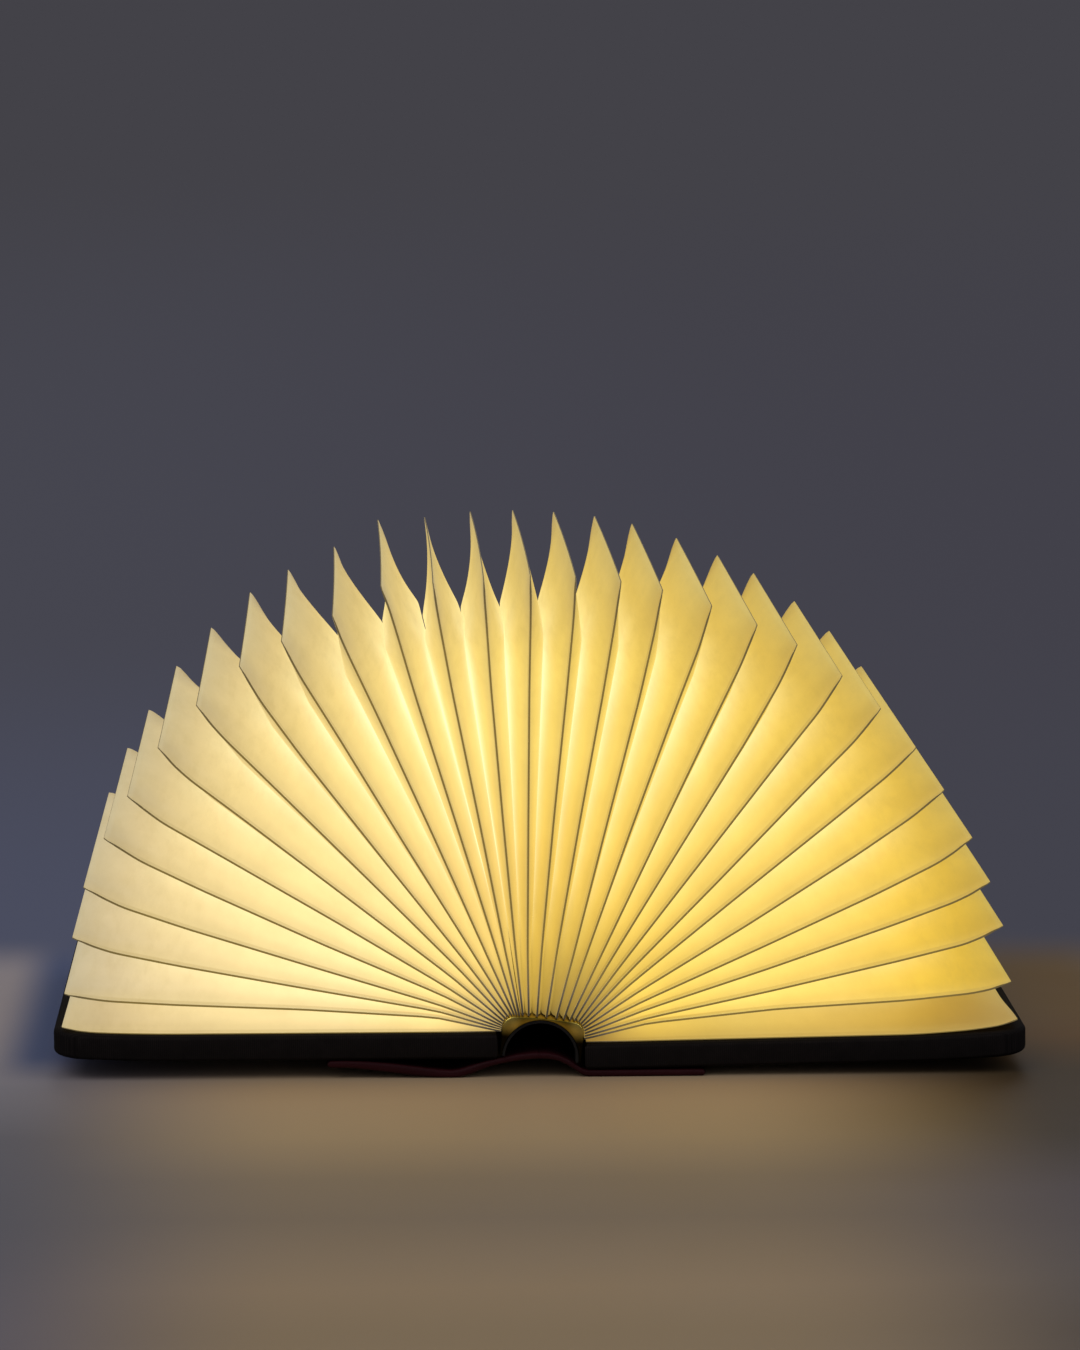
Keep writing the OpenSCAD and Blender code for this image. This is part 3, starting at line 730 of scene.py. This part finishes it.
def make_magnets(name, side):
    """A board's two magnets: discs with a small bevel on both rims."""
    turns = np.linspace(0, 2 * math.pi, 41)[:-1]
    n = len(turns)
    small = MAGNET_R - MAGNET_BEVEL
    rings = [(small, 0), (MAGNET_R, MAGNET_BEVEL),
             (MAGNET_R, MAGNET_T - MAGNET_BEVEL), (small, MAGNET_T)]
    x = side * (BOARD_X + MAGNET_X)
    z = BOARD_Z[side] + BOARD_T - CLOTH - MAGNET_T + board_rise(MAGNET_X / BOARD_W[side])
    verts, faces = [], []
    for y in (MAGNET_Y - HALF_D, HALF_D - MAGNET_Y):
        low = len(verts)
        verts += [(x + r * math.cos(a), y + r * math.sin(a), z + h)
                  for r, h in rings for a in turns]
        last = low + (len(rings) - 1) * n
        faces += quads(len(rings), n, low)
        faces += [tuple(range(low, low + n))[::-1], tuple(range(last, last + n))]
    return add_object(name, (tilted(verts, side) * MM).tolist(), faces)


def outward(ob):
    """Makes every face of a closed piece look outward."""
    bm = bmesh.new()
    bm.from_mesh(ob.data)
    bmesh.ops.recalc_face_normals(bm, faces=bm.faces)
    bm.to_mesh(ob.data)
    bm.free()


# ---------------------------------------------------------------- leather strip
# places along the strip, and its lower and upper face there
STRIP_XS = (-82, -74, -66, -60, -54, -48, -42, -37, -34, -31, -27, -23.5, -20, -16, -12, -8, -4,
            -0.6, 3.5, 7, 10.5, 13, 15, 17, 20, 40, 63)
STRIP_LOW = (4.2, 4.1, 3.3, 2.5, 1.6, 0.8, 0.25, 0.0, 0.0, 0.25, 1.3, 2.8, 4.1, 5.2, 6.0, 6.6, 7.0,
             7.15, 6.9, 6.1, 4.3, 2.6, 1.2, 0.3, 0.0, 0.0, 0.0)
STRIP_TOP = (7.05, 7.0, 6.6, 6.0, 5.3, 4.5, 3.6, 3.0, 2.85, 3.4, 4.7, 5.8, 6.7, 7.6, 8.4, 9.1, 9.5,
             9.6, 9.3, 8.4, 6.8, 5.1, 3.7, 2.8, 2.65, 2.65, 2.65)
STRIP_HALF_D = 107
# how wide its far end and its two sides are rounded, and how much thinner it is on each face
STRIP_END_ROUND, STRIP_SIDE_ROUND, STRIP_SHY = 1.2, 1.1, 0.02
# the strip's two halves meet at its crown
CROWN = -0.6


def thinned(gap, reach):
    """The strip's share of its thickness at a distance from its edge, which is rounded."""
    near = np.clip(gap / reach, 0, 1)
    return 0.35 + 0.65 * np.sqrt(1 - (1 - near) ** 2)


def make_strip(name, x0, x1):
    """One half of the strip, from its crown to its glued end."""
    fine = np.linspace(STRIP_XS[0], STRIP_XS[-1], 581)
    steps = np.linspace(x0, x1, 72)
    low, top = [np.pad(np.interp(fine, STRIP_XS, face), 5, "edge")
                for face in (STRIP_LOW, STRIP_TOP)]
    low, top = [np.interp(steps, fine, np.convolve(face, kernel(11), "valid"))
                for face in (low, top)]
    mid, half = (low + top) / 2, (top - low) / 2 - STRIP_SHY
    far = x1 if abs(x1) > abs(x0) else x0
    ys = np.concatenate([[-1, -0.9985, -0.995, -0.99], np.linspace(-0.97, 0.97, 25),
                         [0.99, 0.995, 0.9985, 1]])
    half = half * thinned(np.abs(steps - far), STRIP_END_ROUND)
    rim = thinned((1 - np.abs(ys)) * STRIP_HALF_D, STRIP_SIDE_ROUND)
    sheets = []
    for s in (-1, 1):
        p = np.zeros((len(steps), len(ys), 3))
        p[:, :, 0] = steps[:, None]
        p[:, :, 1] = (ys * STRIP_HALF_D)[None, :]
        p[:, :, 2] = mid[:, None] + s * half[:, None] * rim[None, :]
        sheets.append(p)
    return grid_mesh(name, sheets, soft=True)


# ---------------------------------------------------------------- spine channel
# section: half width, height of the top and of the feet, radius of the shoulders, and the round
# bore's radius and centre height
CHANNEL = {"half": 15.7, "top": 23.3, "foot": 7.2, "shoulder": 4.6, "bore": 14.7, "bore_z": 7.6}
# how far the top falls from its middle to the shoulders
CHANNEL_FALL = 0.45
# depth of the light tape's groove, its half width, and how far it stops before the channel's ends
GROOVE, GROOVE_HALF, GROOVE_END = 0.5, 4.3, 6
# the channel leans to the right about a line at this height over the table
LEAN, LEAN_Z = math.radians(6), 11.8


def channel_loops(groove):
    """The section's outer and inner line, from the left foot to the right, point by point."""
    c = CHANNEL
    flat = c["half"] - c["shoulder"]
    right = [(x, c["top"] - groove) for x in (0.0, 2.1, GROOVE_HALF - 0.02)]
    right += [(x, c["top"]) for x in (GROOVE_HALF + 0.02, 6.5, 9.0)]
    right += [(flat + c["shoulder"] * math.sin(a), c["top"] - c["shoulder"] * (1 - math.cos(a)))
              for a in np.linspace(0, math.pi / 2, 15)]
    right += [(c["half"], z) for z in np.linspace(c["top"] - c["shoulder"], c["foot"], 9)[1:]]
    outer = np.array([(-x, z) for x, z in right[:0:-1]] + right)
    fall = CHANNEL_FALL * np.clip(np.abs(outer[:, 0]) / flat, 0, 1) ** 2
    outer[:, 1] -= np.where(outer[:, 1] > c["foot"] + 1, fall, 0)
    # the inner line's points lie at the same shares of its length
    t = np.concatenate([[0], np.cumsum(np.hypot(*np.diff(outer, axis=0).T))])
    t = np.abs(2 * t / t[-1] - 1) * np.sign(t - t[-1] / 2)
    quarter = c["bore"] * math.pi / 2
    run = np.abs(t) * (quarter + c["bore_z"] - c["foot"])
    a = np.minimum(run / c["bore"], math.pi / 2)
    x = np.sign(t) * c["bore"] * np.sin(a)
    z = c["bore_z"] + c["bore"] * np.cos(a) - np.maximum(run - quarter, 0)
    return outer, np.stack([x, z], 1)


def make_channel():
    """The gold channel with its bevelled ends and the groove for the light tape."""
    # each ring's distance from the end, how far its section is drawn in, and its groove
    end = [(0, 0.5, 0), (0.12, 0.22, 0), (0.35, 0.06, 0), (0.7, 0, 0),
           (GROOVE_END, 0, 0), (GROOVE_END, 0, GROOVE)]
    rings = [(g - HALF_D, *rest) for g, *rest in end] + [(0.0, 0, GROOVE)]
    rings += [(HALF_D - g, *rest) for g, *rest in end[::-1]]
    verts = []
    for y, inset, groove in rings:
        outer, inner = channel_loops(groove)
        loop = np.concatenate([outer, inner[::-1]])
        along = np.roll(loop, -1, 0) - np.roll(loop, 1, 0)
        along /= np.linalg.norm(along, axis=1)[:, None]
        loop = loop + inset * np.stack([along[:, 1], -along[:, 0]], 1)
        verts += [(x * math.cos(LEAN) + (z - LEAN_Z) * math.sin(LEAN), y,
                   LEAN_Z - x * math.sin(LEAN) + (z - LEAN_Z) * math.cos(LEAN)) for x, z in loop]
    k = len(loop)
    faces = quads(len(rings), k)
    for base in (0, (len(rings) - 1) * k):
        faces += [(base + j, base + j + 1, base + k - 2 - j, base + k - 1 - j)
                  for j in range(k // 2 - 1)]
    ob = add_object("channel", (np.array(verts) * MM).tolist(), faces)
    ob.data.polygons.foreach_set("use_smooth", [True] * len(faces))
    return ob


# ---------------------------------------------------------------- finishes of the rigid pieces
def gold():
    m = Mat("gold_metal", (0.62, 0.46, 0.1), 0.3, 1.0)
    vec = m.place()
    x, _, z = m.split(vec)
    drawn = m.noise(m.place((1, 0.02, 1)), 260, 3, 0.6)
    cloud = m.noise(vec, 70, 3, 0.6)
    # painted highlight: the shoulders much brighter than the middle of the top; painted shade: near
    # black toward the feet of the legs
    up = m.math("ADD", m.times(x, math.sin(LEAN)),
                m.times(m.math("SUBTRACT", z, LEAN_Z * MM), math.cos(LEAN)))
    out = m.math("ABSOLUTE", m.math("SUBTRACT", x, 0.0012))
    painted_shoulder_highlight = m.mix(m.ease(out, 0.008, 0.0125), (0.46, 0.345, 0.05), (1.0, 0.82, 0.2))
    tone = m.mix(m.ease(up, 0.0028, 0.0095), (0.012, 0.009, 0.002), painted_shoulder_highlight)
    m.feed("Base Color", m.mix(m.remap(cloud, 0.35, 0.7, 0.0, 0.25), tone, (0.0, 0.0, 0.0)))
    m.feed("Roughness", m.remap(drawn, 0.3, 0.7, 0.32, 0.44))
    m.bump(drawn, 0.05, 0.0001)
    return m.mat


def cloth():
    m = Mat("black_cloth", (0.006, 0.005, 0.005), 0.9)
    vec = m.place()
    weave = m.times(m.wave(vec, 420, "X", 0.6), m.wave(vec, 420, "Y", 0.6))
    slub = m.noise(vec, 160, 3)
    m.feed("Base Color", m.mix(m.times(weave, slub), (0.003, 0.002, 0.002), (0.016, 0.012, 0.011)))
    m.put("Specular IOR Level", 0.12)
    m.bump(weave, 0.4, 0.0002)
    return m.mat


def leather():
    m = Mat("red_leather", (0.05, 0.006, 0.009), 0.6)
    vec = m.place()
    v = m.node("TexVoronoi", feature="DISTANCE_TO_EDGE")
    m.link(vec, v.inputs["Vector"])
    v.inputs["Scale"].default_value = 520
    pores = m.remap(v.outputs["Distance"], 0.0, 0.12)
    # painted shade: the leather's dark red is taken near black for the boards' shadow it lies in
    m.feed("Base Color", m.mix(m.noise(vec, 60, 4), (0.013, 0.0008, 0.002), (0.026, 0.0015, 0.004)))
    m.put("Specular IOR Level", 0.12)
    m.bump(pores, 0.3, 0.0002)
    return m.mat


def plain(name, base, rough, metal=0.0, scale=120, spread=0.15):
    """A small rigid piece's finish: its colour varies a little, with a fine surface."""
    m = Mat(name, base, rough, metal)
    vec = m.place()
    tone = m.noise(vec, scale, 3)
    dark = tuple(c * (1 - spread) for c in base)
    pale = tuple(min(1, c * (1 + spread)) for c in base)
    m.feed("Base Color", m.mix(tone, dark, pale))
    m.feed("Roughness", m.remap(tone, 0.3, 0.7, rough * 0.9, min(1, rough * 1.1)))
    m.bump(m.noise(vec, scale * 6, 2), 0.06, 0.0001)
    return m.mat


def led():
    m = Mat("led_warm", (0.45, 0.32, 0.06), 0.4)
    spot = m.noise(m.place(), 800, 2)
    m.feed("Emission Color", m.mix(spot, lin(255, 236, 170), lin(255, 246, 205)))
    m.put("Emission Strength", 0.12)
    return m.mat


def dress(node, mat):
    ob = bpy.data.objects[node]
    if not ob.material_slots:
        ob.data.materials.append(mat)
    for s in ob.material_slots:
        s.material = mat


FINISH = {
    "spine_channel": gold(),
    "arch_liner": plain("black_plastic", (0.0015, 0.001, 0.0012), 0.95),
    "port_block": plain("black_block", (0.012, 0.012, 0.013), 0.5),
    "spine_strip": leather(),
    "led_tape": plain("amber_tape", (0.16, 0.09, 0.02), 0.5),
    "leds": led(),
    "battery_cell": plain("cell_foil", (0.42, 0.45, 0.5), 0.35, 0.9),
    "charge_board": plain("green_board", (0.02, 0.11, 0.05), 0.4, scale=400),
    "usb_socket": plain("steel_shell", (0.6, 0.61, 0.62), 0.28, 1.0),
    "hall_switch": plain("switch_black", (0.02, 0.02, 0.02), 0.5),
    "lead_wires": plain("red_wire", (0.5, 0.02, 0.02), 0.4),
}
for word in ("left", "right"):
    FINISH[word + "_core"] = plain("fibre_board_" + word, (0.28, 0.2, 0.12), 0.85, scale=200,
                                   spread=0.25)
    FINISH[word + "_cloth"] = cloth()
    FINISH[word + "_magnets"] = plain("magnet_metal_" + word, (0.55, 0.56, 0.58), 0.25, 1.0)
for node, mat in FINISH.items():
    dress(node, mat)


def stand_for(ob, node, body=None):
    """The piece takes the node's place and finish, and rides on the body if there is one."""
    ob.data.materials.clear()
    ob.data.materials.append(FINISH[node])
    outward(ob)
    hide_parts(node)
    if body:
        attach(ob, body)
    return ob


for side, word in ((-1, "left"), (1, "right")):
    body = word + "_cover"
    stand_for(slab("board_cloth_" + word, side, 0.0), word + "_cloth", body)
    stand_for(slab("board_core_" + word, side, CLOTH), word + "_core", body)
    stand_for(make_magnets("board_magnets_" + word, side), word + "_magnets", body)
channel = stand_for(make_channel(), "spine_channel", "spine")
channel.data.set_sharp_from_angle(angle=math.radians(50))
# the strip is glued under both boards; it is made in two halves that meet at its crown
for word, x0, x1, near, far in (("left", STRIP_XS[0], CROWN, -12, -30),
                                ("right", CROWN, STRIP_XS[-1], 12, 28)):
    half = stand_for(make_strip("strip_" + word, x0, x1), "spine_strip")
    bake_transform(half)
